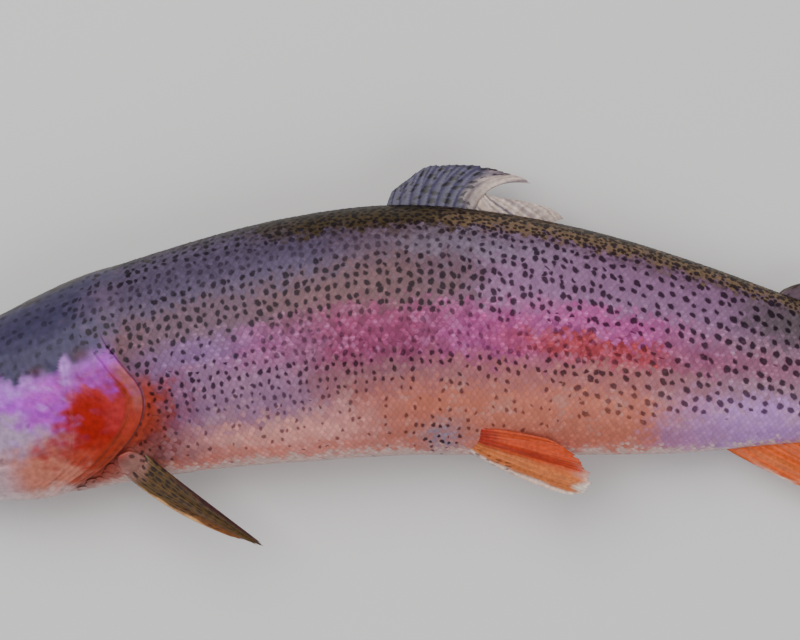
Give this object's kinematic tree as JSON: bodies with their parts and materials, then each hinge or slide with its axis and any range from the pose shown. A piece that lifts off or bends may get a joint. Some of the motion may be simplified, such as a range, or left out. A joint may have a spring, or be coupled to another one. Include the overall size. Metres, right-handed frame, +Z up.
{
  "type": "rainbow trout",
  "caption": "Life-size still model of a rainbow trout lying on its right side, back gently arched, with fins, eyes, jaw and gill covers.",
  "frame": {"origin": "centre of the fish's bounding box, on the floor that it lies on", "axes": "+X to the tail, +Y to the back, +Z up, out of the left flank"},
  "size_m": [0.4478, 0.1372, 0.049],
  "materials": {
    "head_skin": "wet fish skin, slate blue on top, lilac and scarlet on the cheek",
    "gill_cover_skin": "wet fish skin, scarlet",
    "jaw_skin": "wet fish skin, pale",
    "flank_skin": "wet scaled skin, olive and lilac-grey with black spots and a rose stripe",
    "spotted_fin": "wet fin web, blue-grey with dark spots",
    "pectoral_fin": "wet fin web, olive-brown with dark spots",
    "orange_fin": "wet fin web, orange with a creamy leading edge",
    "eye": "clear wet eye, black pupil in a bronze iris"
  },
  "bodies": {
    "root": {"head": "head_skin", "lower_jaw": "jaw_skin", "gill_cover_left": "gill_cover_skin", "gill_cover_right": "gill_cover_skin", "maxilla_left": "head_skin", "maxilla_right": "head_skin", "eye_left": "eye", "eye_right": "eye", "trunk_front": "flank_skin", "trunk_middle": "flank_skin", "trunk_rear": "flank_skin", "tail_stalk": "flank_skin", "dorsal_fin": "spotted_fin", "adipose_fin": "spotted_fin", "anal_fin": "orange_fin", "caudal_fin_upper": "spotted_fin", "caudal_fin_lower": "spotted_fin", "pectoral_fin_left": "pectoral_fin", "pectoral_fin_right": "pectoral_fin", "pelvic_fin_left": "orange_fin", "pelvic_fin_right": "orange_fin"}
  },
  "joints": []
}
